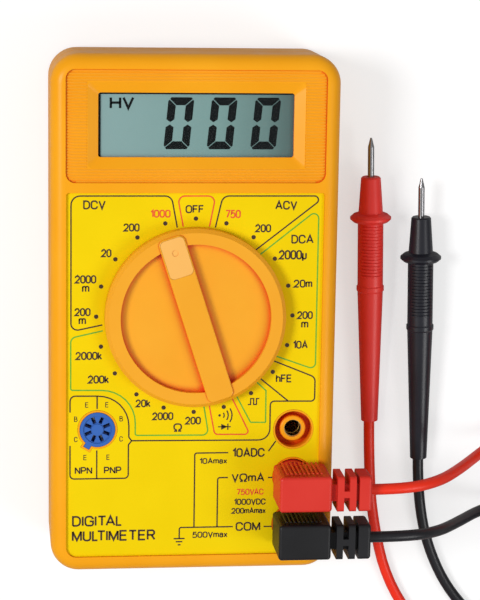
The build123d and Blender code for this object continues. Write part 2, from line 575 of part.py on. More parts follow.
# ---- build --------------------------------------------------------------------------------------
save("front_case", front_case())
save("rear_case", rear_case())
save("face_label", face_label())
make_display()
make_switch()
make_jacks()
make_transistor_socket()
make_board_parts()
make_trimmer()
make_fuse()
make_battery()
save("board_screws", group(screw(x, y, (17.0, BOARD_BOTTOM), 21.8, 2.5, 1.1) for x, y in BOARD_SCREWS))
save("case_screws", group(screw(x, y, (2.2, 4.0), 20.5, 2.7, 1.3) for x, y in CASE_SCREWS))
make_lead("red", JACK_YS[1], RED_TIP)
make_lead("black", JACK_YS[2], BLACK_TIP)
make_cords()
print(len(NODES), "nodes")
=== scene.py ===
"""Look of the pocket multimeter and its two test leads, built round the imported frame."""
import bpy
import bmesh
import math
from mathutils import Matrix, Vector


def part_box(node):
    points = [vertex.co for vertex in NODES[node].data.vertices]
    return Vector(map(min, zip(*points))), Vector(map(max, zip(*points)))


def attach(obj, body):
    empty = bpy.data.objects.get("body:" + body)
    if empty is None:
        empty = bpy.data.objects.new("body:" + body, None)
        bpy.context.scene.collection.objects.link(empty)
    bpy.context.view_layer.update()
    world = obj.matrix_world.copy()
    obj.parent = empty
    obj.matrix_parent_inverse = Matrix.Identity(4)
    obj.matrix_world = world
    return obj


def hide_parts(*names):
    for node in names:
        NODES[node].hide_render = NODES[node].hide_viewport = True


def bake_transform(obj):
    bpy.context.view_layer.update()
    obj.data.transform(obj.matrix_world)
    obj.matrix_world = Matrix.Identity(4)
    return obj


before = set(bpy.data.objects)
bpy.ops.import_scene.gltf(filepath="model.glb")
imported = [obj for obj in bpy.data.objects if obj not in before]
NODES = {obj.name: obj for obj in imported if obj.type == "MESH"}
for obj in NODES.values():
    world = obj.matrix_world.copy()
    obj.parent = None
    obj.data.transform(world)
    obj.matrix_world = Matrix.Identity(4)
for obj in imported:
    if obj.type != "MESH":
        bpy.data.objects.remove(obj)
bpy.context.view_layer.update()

MM = 0.001


def srgb(red, green, blue, alpha=1.0):
    """A colour given as 0-255 display values, as the shader's linear values."""
    def linear(value):
        value /= 255
        return value / 12.92 if value <= 0.04045 else ((value + 0.055) / 1.055) ** 2.4
    return (linear(red), linear(green), linear(blue), alpha)


# ---- materials ----------------------------------------------------------------------------------
def new_material(name):
    """A fresh material with its node tree and its Principled shader."""
    material = bpy.data.materials.new(name)
    material.use_nodes = True
    tree = material.node_tree
    shader = tree.nodes["Principled BSDF"]
    return material, tree, shader


def noise(tree, scale, detail=3.0, stretch=(1, 1, 1)):
    """Noise in the object's own metres, so its grain has a real size."""
    place = tree.nodes.new("ShaderNodeTexCoord")
    mapping = tree.nodes.new("ShaderNodeMapping")
    mapping.inputs["Scale"].default_value = stretch
    texture = tree.nodes.new("ShaderNodeTexNoise")
    texture.inputs["Scale"].default_value = scale
    texture.inputs["Detail"].default_value = detail
    tree.links.new(place.outputs["Object"], mapping.inputs["Vector"])
    tree.links.new(mapping.outputs["Vector"], texture.inputs["Vector"])
    return texture.outputs["Fac"]


def tinted(tree, factor, dark, light, low=0.3, high=0.7):
    """A colour ramp between two tones."""
    ramp = tree.nodes.new("ShaderNodeValToRGB")
    ramp.color_ramp.elements[0].position = low
    ramp.color_ramp.elements[0].color = dark
    ramp.color_ramp.elements[1].position = high
    ramp.color_ramp.elements[1].color = light
    tree.links.new(factor, ramp.inputs["Fac"])
    return ramp.outputs["Color"]


def bump(tree, shader, height, strength, distance):
    """Fine relief in the shading. The distance is in metres."""
    node = tree.nodes.new("ShaderNodeBump")
    node.inputs["Strength"].default_value = strength
    node.inputs["Distance"].default_value = distance
    tree.links.new(height, node.inputs["Height"])
    tree.links.new(node.outputs["Normal"], shader.inputs["Normal"])


def rough_range(tree, shader, factor, low, high):
    """Roughness that wanders between two values, as handled plastic does."""
    spread = tree.nodes.new("ShaderNodeMapRange")
    spread.inputs["To Min"].default_value = low
    spread.inputs["To Max"].default_value = high
    tree.links.new(factor, spread.inputs["Value"])
    tree.links.new(spread.outputs["Result"], shader.inputs["Roughness"])


def plastic(name, dark, light, rough=(0.36, 0.5), grain=2600.0, grain_depth=0.00002, strength=0.35,
            crevice_shade=None, shine=0.4):
    """Moulded plastic: two close tones, a fine spark-eroded grain, wandering roughness and, when a shade
    colour is given, painted shade in its corners and grooves.
    """
    material, tree, shader = new_material(name)
    colour = tinted(tree, noise(tree, 55.0, 4.0), dark, light)
    # Painted shade: a redder colour mixed in where the surface is enclosed.
    if crevice_shade:
        colour = painted_crevice_shade(tree, colour, crevice_shade)
    tree.links.new(colour, shader.inputs["Base Color"])
    rough_range(tree, shader, noise(tree, 140.0, 3.0), *rough)
    bump(tree, shader, noise(tree, grain, 2.0), strength, grain_depth)
    shader.inputs["Specular IOR Level"].default_value = shine
    return material


def painted_crevice_shade(tree, colour, crevice_shade):
    """Painted shade: the plastic is coloured redder in its corners and grooves, by how enclosed each point
    is, standing in for the light that bounces there twice.
    """
    reach = 1.8 * MM
    closed, open_air = 0.42, 0.92
    hollow = tree.nodes.new("ShaderNodeAmbientOcclusion")
    hollow.samples = 8
    hollow.inputs["Distance"].default_value = reach
    share = tree.nodes.new("ShaderNodeMapRange")
    share.inputs["From Min"].default_value = closed
    share.inputs["From Max"].default_value = open_air
    share.inputs["To Min"].default_value = 1.0
    share.inputs["To Max"].default_value = 0.0
    mix = tree.nodes.new("ShaderNodeMix")
    mix.data_type = "RGBA"
    mix.inputs["B"].default_value = crevice_shade
    tree.links.new(hollow.outputs["AO"], share.inputs["Value"])
    tree.links.new(share.outputs["Result"], mix.inputs["Factor"])
    tree.links.new(colour, mix.inputs["A"])
    return mix.outputs["Result"]


def metal(name, colour, rough=(0.18, 0.34), scratch=900.0):
    """Drawn metal with faint streaks along one direction."""
    material, tree, shader = new_material(name)
    shader.inputs["Metallic"].default_value = 1.0
    streaks = noise(tree, scratch, 3.0, (1, 1, 0.12))
    bright = tuple(min(1.0, c * 1.12) for c in colour[:3]) + (1.0,)
    tree.links.new(tinted(tree, streaks, colour, bright), shader.inputs["Base Color"])
    rough_range(tree, shader, streaks, *rough)
    bump(tree, shader, streaks, 0.12, 0.00001)
    return material


def ink(name, dark, light, shine=0.5):
    """Screen-printed ink: slightly uneven cover, matt."""
    material, tree, shader = new_material(name)
    tree.links.new(tinted(tree, noise(tree, 900.0, 2.0), dark, light), shader.inputs["Base Color"])
    shader.inputs["Roughness"].default_value = 0.5
    shader.inputs["Specular IOR Level"].default_value = shine
    return material


def clear_sheet(name, tint, shine):
    """A clear pane: light goes straight through it, and it shines more the flatter it is seen."""
    material, tree, shader = new_material(name)
    tree.nodes.remove(shader)
    through = tree.nodes.new("ShaderNodeBsdfTransparent")
    through.inputs["Color"].default_value = tint
    gloss = tree.nodes.new("ShaderNodeBsdfGlossy")
    gloss.inputs["Roughness"].default_value = 0.06
    rim = tree.nodes.new("ShaderNodeLayerWeight")
    rim.inputs["Blend"].default_value = 0.25
    shine_head_on = 0.003
    amount = tree.nodes.new("ShaderNodeMapRange")
    amount.inputs["To Min"].default_value = shine_head_on
    amount.inputs["To Max"].default_value = shine
    tree.links.new(rim.outputs["Facing"], amount.inputs["Value"])
    mix = tree.nodes.new("ShaderNodeMixShader")
    tree.links.new(amount.outputs["Result"], mix.inputs["Fac"])
    tree.links.new(through.outputs["BSDF"], mix.inputs[1])
    tree.links.new(gloss.outputs["BSDF"], mix.inputs[2])
    tree.links.new(mix.outputs["Shader"], tree.nodes["Material Output"].inputs["Surface"])
    return material


def display_ground_painted_shade(name):
    """The display's grey-green ground, with painted shade that darkens it towards its right end."""
    material, tree, shader = new_material(name)
    place = tree.nodes.new("ShaderNodeTexCoord")
    split = tree.nodes.new("ShaderNodeSeparateXYZ")
    tree.links.new(place.outputs["Object"], split.inputs["Vector"])
    across = tree.nodes.new("ShaderNodeMapRange")
    across.interpolation_type = "SMOOTHSTEP"
    low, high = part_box("lcd_front_glass")
    across.inputs["From Min"].default_value = low[0]
    across.inputs["From Max"].default_value = high[0] + 2 * MM
    tree.links.new(split.outputs["X"], across.inputs["Value"])
    # Painted shade: the ramp darkens the ground from its left end to its right end.
    ramp = tree.nodes.new("ShaderNodeValToRGB")
    stops = ramp.color_ramp.elements
    stops[0].position, stops[0].color = 0.0, srgb(138, 168, 168)
    stops[1].position, stops[1].color = 1.0, srgb(76, 98, 96)
    middle = stops.new(0.62)
    middle.color = srgb(124, 156, 154)
    late = stops.new(0.9)
    late.color = srgb(104, 132, 130)
    tree.links.new(across.outputs["Result"], ramp.inputs["Fac"])
    tree.links.new(ramp.outputs["Color"], shader.inputs["Base Color"])
    bump(tree, shader, noise(tree, 4200.0, 2.0), 0.12, 0.00001)
    shader.inputs["Roughness"].default_value = 0.42
    return material


def circuit_material(name):
    """Brown phenolic board under a greenish-brown lacquer, with faint copper shapes."""
    material, tree, shader = new_material(name)
    cells = tree.nodes.new("ShaderNodeTexVoronoi")
    cells.inputs["Scale"].default_value = 260.0
    place = tree.nodes.new("ShaderNodeTexCoord")
    tree.links.new(place.outputs["Object"], cells.inputs["Vector"])
    tree.links.new(
        tinted(tree, cells.outputs["Distance"], srgb(70, 92, 40), srgb(140, 112, 62), 0.25, 0.32),
        shader.inputs["Base Color"])
    shader.inputs["Roughness"].default_value = 0.4
    return material


# Painted shade: the red-orange mixed into the corners and grooves of the case and the knob.
PAINTED_SHADE_ORANGE = srgb(226, 74, 8)
ORANGE = plastic("orange_plastic", srgb(243, 161, 18), srgb(247, 168, 26), (0.26, 0.38), strength=0.2,
                 crevice_shade=PAINTED_SHADE_ORANGE, shine=0.15)
ORANGE_KNOB = plastic("orange_knob", srgb(241, 163, 24), srgb(245, 170, 32), (0.3, 0.42), strength=0.2,
                      crevice_shade=PAINTED_SHADE_ORANGE)
ORANGE_RIBS = plastic("orange_ribs", srgb(240, 158, 20), srgb(245, 165, 26), (0.34, 0.42), strength=0.04)
PALE_INSERT = plastic("pale_insert", srgb(246, 180, 88), srgb(249, 188, 98), (0.3, 0.4))
LABEL = plastic("label_film", srgb(236, 203, 2), srgb(242, 210, 6),
                (0.45, 0.55), 1500.0, 0.00001, 0.2, shine=0.06)
BLUE = plastic("socket_blue", srgb(40, 88, 168), srgb(52, 102, 184), (0.25, 0.35))
RED_VINYL = plastic("red_vinyl", srgb(210, 42, 30), srgb(218, 52, 40),
                    (0.36, 0.52), 1700.0, 0.00004, 0.6, shine=0.3)
RED_PROBE = plastic("red_probe", srgb(232, 52, 44), srgb(238, 62, 54),
                    (0.3, 0.44), 1700.0, 0.00003, 0.4, shine=0.35)
BLACK_PROBE = plastic("black_probe", srgb(18, 19, 26), srgb(27, 28, 37), (0.26, 0.4), 1700.0, 0.00003, 0.4)
RED_CORD = plastic("red_cord_skin", srgb(236, 40, 12), srgb(242, 50, 18),
                   (0.3, 0.42), 900.0, 0.00003, 0.3, shine=0.35)
BLACK_CORD = plastic("black_cord_skin", srgb(18, 18, 22), srgb(28, 28, 33), (0.28, 0.4), 900.0, 0.00003, 0.3)
BLACK_VINYL = plastic("black_vinyl", srgb(17, 17, 19), srgb(28, 28, 31),
                      (0.36, 0.52), 1700.0, 0.00004, 0.6, shine=0.3)
WHITE_PLASTIC = plastic("white_plastic", srgb(224, 224, 218), srgb(236, 236, 230))
BLACK_EPOXY = plastic("black_epoxy", srgb(22, 22, 24), srgb(34, 34, 36), (0.3, 0.5))
RESISTOR_BODY = plastic("resistor_body", srgb(112, 168, 196), srgb(130, 184, 208), (0.25, 0.35))
CAPACITOR_BODY = plastic("capacitor_body", srgb(196, 112, 44), srgb(210, 128, 56), (0.2, 0.3))
TRIMMER_BLUE = plastic("trimmer_blue", srgb(36, 70, 160), srgb(46, 84, 176))
ELASTOMER = plastic("elastomer", srgb(90, 90, 92), srgb(150, 150, 150), (0.5, 0.6))
BATTERY_SKIN = plastic("battery_skin", srgb(44, 46, 56), srgb(58, 60, 72), (0.2, 0.3))
BRASS = metal("brass", (0.78, 0.55, 0.22, 1.0))
NICKEL = metal("nickel", (0.62, 0.6, 0.56, 1.0))
STEEL = metal("steel", (0.5, 0.5, 0.51, 1.0))
NEEDLE = metal("needle_steel", (0.3, 0.3, 0.31, 1.0), (0.24, 0.32), 260.0)
BOARD = circuit_material("board")
WINDOW = clear_sheet("window", (0.97, 0.985, 0.98, 1.0), 0.12)
FUSE_GLASS = clear_sheet("fuse_glass", (0.9, 0.95, 0.94, 1.0), 0.3)
LCD = display_ground_painted_shade("lcd_ground_painted_shade")
LCD_BACK = plastic("lcd_back", srgb(120, 150, 148), srgb(130, 160, 158))
LCD_DARK = ink("lcd_dark", srgb(10, 14, 16), srgb(16, 22, 24), shine=0.12)
INK_DARK = ink("ink_dark", srgb(52, 30, 14), srgb(66, 42, 18))
INK_RED = ink("ink_red", srgb(226, 78, 18), srgb(236, 96, 26))
INK_GREEN = ink("ink_green", srgb(96, 164, 26), srgb(116, 180, 36))

FINISHES = {
    ORANGE: ("front_case", "rear_case"),
    ORANGE_KNOB: ("range_knob",),
    PALE_INSERT: ("pointer_insert",),
    LABEL: ("face_label",),
    BLUE: ("hfe_socket",),
    WINDOW: ("display_window",),
    LCD: ("lcd_front_glass",),
    LCD_BACK: ("lcd_rear_glass",),
    WHITE_PLASTIC: ("lcd_holder", "trimmer_rotor"),
    ELASTOMER: ("zebra_strip",),
    BOARD: ("circuit_board",),
    BLACK_EPOXY: ("chip_blob", "buzzer", "transistor", "diode"),
    RESISTOR_BODY: ("resistors",),
    CAPACITOR_BODY: ("capacitors",),
    TRIMMER_BLUE: ("trimmer_body",),
    FUSE_GLASS: ("fuse_tube",),
    NICKEL: ("fuse_caps", "fuse_clips", "battery_terminals", "shunt_wire", "hfe_contacts", "wiper_contacts"),
    STEEL: ("board_screws", "case_screws", "detent_springs", "detent_ball_front", "detent_ball_back"),
    NEEDLE: ("red_probe_needle", "black_probe_needle"),
    BRASS: ("jack_10a", "jack_voltage", "jack_common", "red_plug_pin", "black_plug_pin"),
    BATTERY_SKIN: ("battery",),
    BLACK_VINYL: ("battery_snap", "battery_wire_black", "black_plug_body", "black_strain_relief"),
    RED_VINYL: ("battery_wire_red", "red_plug_body", "red_strain_relief"),
    RED_PROBE: ("red_probe_handle",),
    BLACK_PROBE: ("black_probe_handle",),
}
for finish, names in FINISHES.items():
    for node_name in names:
        for place in NODES[node_name].material_slots:
            place.link = "OBJECT"
            place.material = finish


# ---- mesh helpers -------------------------------------------------------------------------------
def mesh_object(name, mesh, material, body="meter"):
    piece = bpy.data.objects.new(name, mesh)
    mesh.materials.clear()
    mesh.materials.append(material)
    bpy.context.scene.collection.objects.link(piece)
    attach(piece, body)
    return piece


def shade_smooth(mesh, angle=35.0):
    """Smooth faces with the sharp edges kept."""
    mesh.shade_smooth()
    mesh.set_sharp_from_angle(angle=math.radians(angle))


def rounded(points, radii):
    """A polyline in millimetres with each inner corner turned into an arc of the given radius."""
    out = [Vector(points[0])]
    for index, radius in enumerate(radii, start=1):
        before, corner, after = (Vector(points[index + step]) for step in (-1, 0, 1))
        into, away = (corner - before).normalized(), (after - corner).normalized()
        turn = math.acos(max(-1.0, min(1.0, into.dot(away))))
        if radius <= 0 or turn < 0.02:
            out.append(corner)
            continue
        cut = radius * math.tan(turn / 2)
        side = 1.0 if into.x * away.y - into.y * away.x > 0 else -1.0
        centre = corner - into * cut + Vector((-into.y, into.x)) * side * radius
        steps = max(2, math.ceil(math.degrees(turn) / 12))
        first = corner - into * cut - centre
        for step in range(steps + 1):
            spin = Matrix.Rotation(side * turn * step / steps, 2)
            out.append(centre + spin @ first)
    out.append(Vector(points[-1]))
    return out


def add_ribbon(bm, points, width, low, high):
    """A flat printed line with mitred corners, as a thin closed strip. Millimetres."""
    rings = []
    for index, point in enumerate(points):
        into = (point - points[index - 1]).normalized() if index else None
        away = (points[index + 1] - point).normalized() if index < len(points) - 1 else None
        into = into or away
        away = away or into
        along = (into + away).normalized()
        reach = width / 2 / max(0.35, along.dot(into))
        side = Vector((-along.y, along.x)) * reach
        ring = []
        for offset, z in ((side, low), (side, high), (-side, high), (-side, low)):
            ring.append(bm.verts.new(((point.x + offset.x) * MM, (point.y + offset.y) * MM, z * MM)))
        rings.append(ring)
    for one, two in zip(rings, rings[1:]):
        for k in range(4):
            bm.faces.new((one[k], one[(k + 1) % 4], two[(k + 1) % 4], two[k]))
    bm.faces.new(rings[0][::-1])
    bm.faces.new(rings[-1])


def add_prism(bm, outline, low, high):
    """A flat shape with upright sides, from a closed outline in millimetres."""
    lower = [bm.verts.new((x * MM, y * MM, low * MM)) for x, y in outline]
    upper = [bm.verts.new((x * MM, y * MM, high * MM)) for x, y in outline]
    bm.faces.new(lower[::-1])
    bm.faces.new(upper)
    count = len(outline)
    for k in range(count):
        bm.faces.new((lower[k], lower[(k + 1) % count], upper[(k + 1) % count], upper[k]))


def disc(x, y, radius, steps=20):
    return [(x + radius * math.cos(2 * math.pi * k / steps), y + radius * math.sin(2 * math.pi * k / steps))
            for k in range(steps)]


# Strokes of each letter in a box one unit high: points, then the radius of each inner corner.
BOWL = 0.28
GLYPHS = {
    "0": [([(0.29, 1), (0, 1), (0, 0), (0.58, 0), (0.58, 1), (0.29, 1)], [BOWL] * 4)],
    "1": [([(0.02, 0.74), (0.27, 1), (0.27, 0)], [0.0])],
    "2": [([(0.01, 0.7), (0.01, 1), (0.57, 1), (0.57, 0.55), (0, 0), (0.6, 0)], [BOWL, BOWL, 0.3, 0.0])],
    "5": [([(0.54, 1), (0.11, 1), (0.06, 0.53), (0.2, 0.66), (0.58, 0.66), (0.58, 0), (0, 0), (0, 0.17)],
           [0.0, 0.0, 0.1, BOWL, BOWL, 0.16])],
    "7": [([(0, 1), (0.57, 1), (0.2, 0)], [0.0])],
    "A": [([(0, 0), (0.34, 1), (0.68, 0)], [0.0]), ([(0.11, 0.32), (0.57, 0.32)], [])],
    "B": [([(0, 0), (0, 1), (0.5, 1), (0.5, 0.53), (0, 0.53)], [0.0, 0.22, 0.22]),
          ([(0, 0.53), (0.57, 0.53), (0.57, 0), (0, 0)], [0.24, 0.24])],
    "C": [([(0.62, 0.68), (0.62, 1), (0, 1), (0, 0), (0.62, 0), (0.62, 0.32)], [0.3] * 4)],
    "D": [([(0, 0), (0, 1), (0.6, 1), (0.6, 0), (0, 0)], [0.0, 0.4, 0.4])],
    "E": [([(0.55, 0), (0, 0), (0, 1), (0.55, 1)], [0.0, 0.0]), ([(0, 0.52), (0.5, 0.52)], [])],
    "F": [([(0, 0), (0, 1), (0.52, 1)], [0.0]), ([(0, 0.52), (0.46, 0.52)], [])],
    "G": [([(0.63, 0.7), (0.63, 1), (0, 1), (0, 0), (0.64, 0), (0.64, 0.47), (0.36, 0.47)],
           [0.3, 0.3, 0.3, 0.2, 0.0])],
    "H": [([(0, 0), (0, 1)], []), ([(0.6, 0), (0.6, 1)], []), ([(0, 0.52), (0.6, 0.52)], [])],
    "I": [([(0, 0), (0, 1)], [])],
    "L": [([(0, 1), (0, 0), (0.4, 0)], [0.0])],
    "M": [([(0, 0), (0, 1)], []), ([(0, 1), (0.36, 0.04), (0.72, 1)], [0.0]), ([(0.72, 1), (0.72, 0)], [])],
    "N": [([(0, 0), (0, 1)], []), ([(0, 1), (0.58, 0)], []), ([(0.58, 0), (0.58, 1)], [])],
    "O": [([(0.33, 1), (0, 1), (0, 0), (0.66, 0), (0.66, 1), (0.33, 1)], [0.32] * 4)],
    "P": [([(0, 0), (0, 1), (0.56, 1), (0.56, 0.46), (0, 0.46)], [0.0, 0.26, 0.26])],
    "R": [([(0, 0), (0, 1), (0.57, 1), (0.57, 0.5), (0, 0.5)], [0.0, 0.24, 0.24]),
          ([(0.33, 0.5), (0.6, 0)], [])],
    "T": [([(0, 1), (0.62, 1)], []), ([(0.31, 1), (0.31, 0)], [])],
    "U": [([(0, 1), (0, 0), (0.58, 0), (0.58, 1)], [BOWL, BOWL])],
    "V": [([(0, 1), (0.31, 0), (0.62, 1)], [0.0])],
    "a": [([(0.03, 0.5), (0.03, 0.72), (0.42, 0.72), (0.42, 0)], [0.17, 0.17]),
          ([(0.42, 0.42), (0, 0.42), (0, 0), (0.42, 0), (0.42, 0.2)], [0.19, 0.19, 0.15])],
    "h": [([(0, 0), (0, 1)], []), ([(0, 0.45), (0, 0.72), (0.44, 0.72), (0.44, 0)], [0.2, 0.2])],
    "k": [([(0, 0), (0, 1)], []), ([(0.42, 0.72), (0, 0.26)], []), ([(0.15, 0.42), (0.46, 0)], [])],
    "m": [([(0, 0), (0, 0.72)], []), ([(0, 0.45), (0, 0.72), (0.36, 0.72), (0.36, 0)], [0.16, 0.16]),
          ([(0.36, 0.45), (0.36, 0.72), (0.72, 0.72), (0.72, 0)], [0.16, 0.16])],
    "x": [([(0, 0.72), (0.44, 0)], []), ([(0, 0), (0.44, 0.72)], [])],
    "\u00b5": [([(0, -0.26), (0, 0.72)], []), ([(0, 0.3), (0, 0), (0.45, 0), (0.45, 0.72)], [0.2, 0.2])],
    "\u03a9": [([(0, 0), (0.24, 0), (0.24, 0.14), (0, 0.36), (0, 1), (0.74, 1), (0.74, 0.36), (0.5, 0.14),
                (0.5, 0), (0.74, 0)], [0.0, 0.05, 0.2, 0.36, 0.36, 0.2, 0.05, 0.0])],
}
LETTER_GAP = 0.22
# Pairs of letters that are set closer than the gap, and by how much.
CLOSER = {"LT": 0.2, "TA": 0.16, "TI": 0.04, "AL": 0.04, "VA": 0.08}


def add_text(bm, text, centre, width, height, low, high, stroke):
    """Plain lettering drawn with one stroke width, fitted to a width and a height. Millimetres."""
    strokes = []
    pen = 0.0
    for index, letter in enumerate(text):
        pen -= CLOSER.get(text[max(0, index - 1):index + 1], 0.0)
        glyph = GLYPHS[letter]
        right = max(x for points, _ in glyph for x, _ in points)
        for points, radii in glyph:
            strokes.append(([(pen + x, y) for x, y in points], radii))
        pen += right + LETTER_GAP
    span = pen - LETTER_GAP
    tall = height - stroke
    across = (width - stroke) / span
    for points, radii in strokes:
        placed = [Vector((centre[0] + (x - span / 2) * across, centre[1] + (y - 0.5) * tall))
                  for x, y in points]
        add_ribbon(bm, rounded(placed, [radius * min(across, tall) for radius in radii]), stroke, low, high)


def finish_mesh(name, bm, material, body="meter", angle=None):
    bmesh.ops.remove_doubles(bm, verts=bm.verts, dist=1e-7)
    bmesh.ops.recalc_face_normals(bm, faces=bm.faces)
    mesh = bpy.data.meshes.new(name)
    bm.to_mesh(mesh)
    bm.free()
    if angle:
        shade_smooth(mesh, angle)
    return mesh_object(name, mesh, material, body)


# ---- printing on the label ----------------------------------------------------------------------
LABEL_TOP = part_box("face_label")[1][2] / MM
INK = (LABEL_TOP - 0.005, LABEL_TOP + 0.02)
LINE = 0.34
DIAL = (0.0, 0.5)
DOT_CIRCLE, DOT_RADIUS, SWITCH_POSITIONS = 24.0, 0.54, 20

DARK_LINES = (
    # direct voltage
    ([(-4.5, 22.3), (-5.95, 30.0), (-30.1, 30.0), (-30.1, -3.15), (-22.5, -1.55)], [1.9, 2.2, 1.6]),
    # alternating voltage
    ([(4.75, 22.3), (6.5, 30.0), (31.6, 30.0), (14.6, 16.7)], [1.9, 0.95]),
    # gain test and the foot of the dial
    ([(18.9, -10.55), (29.95, -15.05), (29.95, -21.1), (18.95, -21.0), (18.95, -30.85), (-15.3, -30.6)],
     [1.6, 0.9, 1.0, 2.8]),
    ([(15.7, -14.7), (23.3, -20.95)], []),
    # frame of the transistor socket
    ([(-30.3, -23.3), (-30.3, -19.2), (-15.95, -19.35), (-15.9, -29.7), (-15.2, -30.6)], [1.3, 7.6, 0.3]),
    ([(-15.2, -30.6), (-16.0, -31.6), (-16.0, -40.1), (-30.3, -40.1), (-30.3, -31.7)], [0.5, 1.0, 1.0]),
    ([(-23.7, -19.2), (-23.7, -22.5)], []),
    ([(-23.75, -32.9), (-23.75, -40.1)], []),
    # leads to the jack names
    ([(18.7, -33.7), (20.5, -31.1)], []),
    ([(8.7, -33.95), (0.4, -33.95), (0.4, -52.95)], [0.5]),
    ([(8.7, -40.3), (6.15, -40.3), (6.15, -52.95)], [0.6]),
    ([(18.7, -40.45), (19.9, -40.45)], []),
    ([(10.1, -52.95), (-3.25, -52.95), (-3.25, -55.8)], [0.5]),
    ([(17.8, -53.05), (19.9, -53.05)], []),
    # earth sign
    ([(-4.65, -55.8), (-1.9, -55.8)], []),
    ([(-4.1, -56.6), (-2.45, -56.6)], []),
    ([(-3.6, -57.4), (-2.9, -57.4)], []),
)
RED_LINES = (
    ([(-3.05, 22.5), (-4.5, 30.0), (4.75, 30.0), (3.3, 22.5)], [1.5, 1.5]),
    ([(3.7, -21.3), (5.25, -29.25), (14.0, -29.35), (9.1, -19.4)], [0.9, 0.8]),
)
GREEN_LINES = (
    ([(15.8, 15.65), (29.97, 26.95), (29.97, -13.15), (19.6, -9.45)], [1.2, 1.2]),
    ([(-22.4, -3.0), (-30.15, -4.75), (-30.15, -17.75), (-14.35, -17.95), (-14.35, -29.25), (3.75, -29.4),
      (2.4, -21.5)], [1.5, 0.5, 8.3, 0.5, 1.3]),
    ([(14.9, -15.6), (17.8, -18.3), (17.85, -26.35), (14.1, -26.3), (10.1, -18.8)], [0.3, 0.2, 0.3]),
)
DARK_WORDS = (
    ("DCV", (-24.5, 27.85), 5.4, 2.2), ("200", (-15.55, 22.35), 3.9, 2.0), ("20", (-21.6, 16.1), 2.5, 2.0),
    ("2000", (-26.6, 9.7), 5.2, 2.05), ("m", (-26.55, 7.55), 1.8, 2.1), ("200", (-27.3, 1.65), 3.9, 2.0),
    ("m", (-27.35, -0.4), 1.8, 2.1), ("OFF", (-0.3, 26.8), 4.5, 2.0), ("ACV", (21.95, 27.75), 5.4, 2.2),
    ("200", (16.4, 22.1), 3.9, 2.0), ("DCA", (26.1, 19.4), 5.5, 2.2),
    ("2000\u00b5", (23.8, 15.55), 6.9, 2.35),
    ("20m", (26.45, 8.4), 4.6, 2.0), ("200", (27.1, 0.55), 3.9, 2.0), ("m", (27.1, -1.65), 1.8, 2.1),
    ("10A", (26.1, -6.85), 3.75, 2.0), ("hFE", (22.2, -15.3), 4.0, 2.05),
    ("2000k", (-25.75, -9.2), 6.5, 2.05),
    ("200k", (-23.4, -15.1), 5.2, 2.05), ("20k", (-12.45, -21.2), 3.7, 2.0),
    ("2000", (-7.6, -24.5), 5.2, 2.0),
    ("200", (-0.15, -25.7), 3.9, 2.0), ("\u03a9", (-3.9, -27.4), 2.15, 2.15),
    ("NPN", (-27.0, -38.0), 4.3, 1.85), ("PNP", (-19.85, -38.0), 4.3, 1.85),
    ("10ADC", (13.7, -34.0), 8.1, 2.3), ("V\u03a9mA", (13.7, -40.4), 8.2, 2.2),
    ("COM", (13.9, -52.95), 6.2, 2.3),
    ("10Amax", (5.0, -36.0), 6.9, 1.5), ("1000VDC", (14.25, -46.6), 8.0, 1.6),
    ("200mAmax", (14.0, -48.9), 8.6, 1.5),
    ("500Vmax", (4.4, -54.9), 8.8, 1.6),
    ("DIGITAL", (-23.6, -50.9), 12.4, 2.75), ("MULTIMETER", (-19.5, -54.7), 20.7, 2.8),
)
SMALL_SIZE = (0.85, 1.35)
SMALL_LETTERS = (
    ("E", (-26.2, -21.45)), ("E", (-21.3, -21.45)), ("B", (-28.9, -25.0)), ("B", (-17.8, -25.0)),
    ("C", (-28.9, -30.1)), ("C", (-17.8, -30.1)), ("E", (-26.6, -34.7)), ("E", (-20.95, -34.7)),
)
RED_WORDS = (("1000", (-8.6, 25.7), 4.9, 1.95), ("750", (9.0, 25.6), 3.8, 2.05),
             ("750VAC", (14.25, -44.05), 6.8, 1.6))


def print_lines(bm, lines):
    for points, radii in lines:
        add_ribbon(bm, rounded(points, radii), LINE, *INK)


def print_symbols(bm):
    """The dial's dots and the square-wave, sounder and diode signs."""
    for step in range(SWITCH_POSITIONS):
        angle = math.radians(90 - 360 / SWITCH_POSITIONS * step)
        centre = (DIAL[0] + DOT_CIRCLE * math.cos(angle), DIAL[1] + DOT_CIRCLE * math.sin(angle))
        add_prism(bm, disc(*centre, DOT_RADIUS), *INK)
    wave = [(13.35, -21.8), (14.05, -21.8), (14.05, -20.3), (14.8, -20.3), (14.8, -21.8), (15.5, -21.8),
            (15.5, -20.3), (16.2, -20.3)]
    add_ribbon(bm, [Vector(p) for p in wave], 0.3, *INK)
    source = Vector((6.4, -24.45))
    add_prism(bm, disc(*source, 0.33, 14), *INK)
    for radius in (1.15, 2.15, 3.1):
        arc = [source + Vector((radius * math.cos(math.radians(a)), radius * math.sin(math.radians(a))))
               for a in range(-34, 35, 17)]
        add_ribbon(bm, arc, 0.32, *INK)
    add_ribbon(bm, [Vector((6.05, -27.35)), Vector((9.25, -27.35))], 0.26, *INK)
    add_prism(bm, [(6.85, -28.1), (8.45, -27.35), (6.85, -26.6)], *INK)
    add_ribbon(bm, [Vector((8.5, -28.15)), Vector((8.5, -26.55))], 0.3, *INK)


def pen_width(height):
    """Taller lettering has a thicker stroke."""
    return 0.145 * height + 0.06


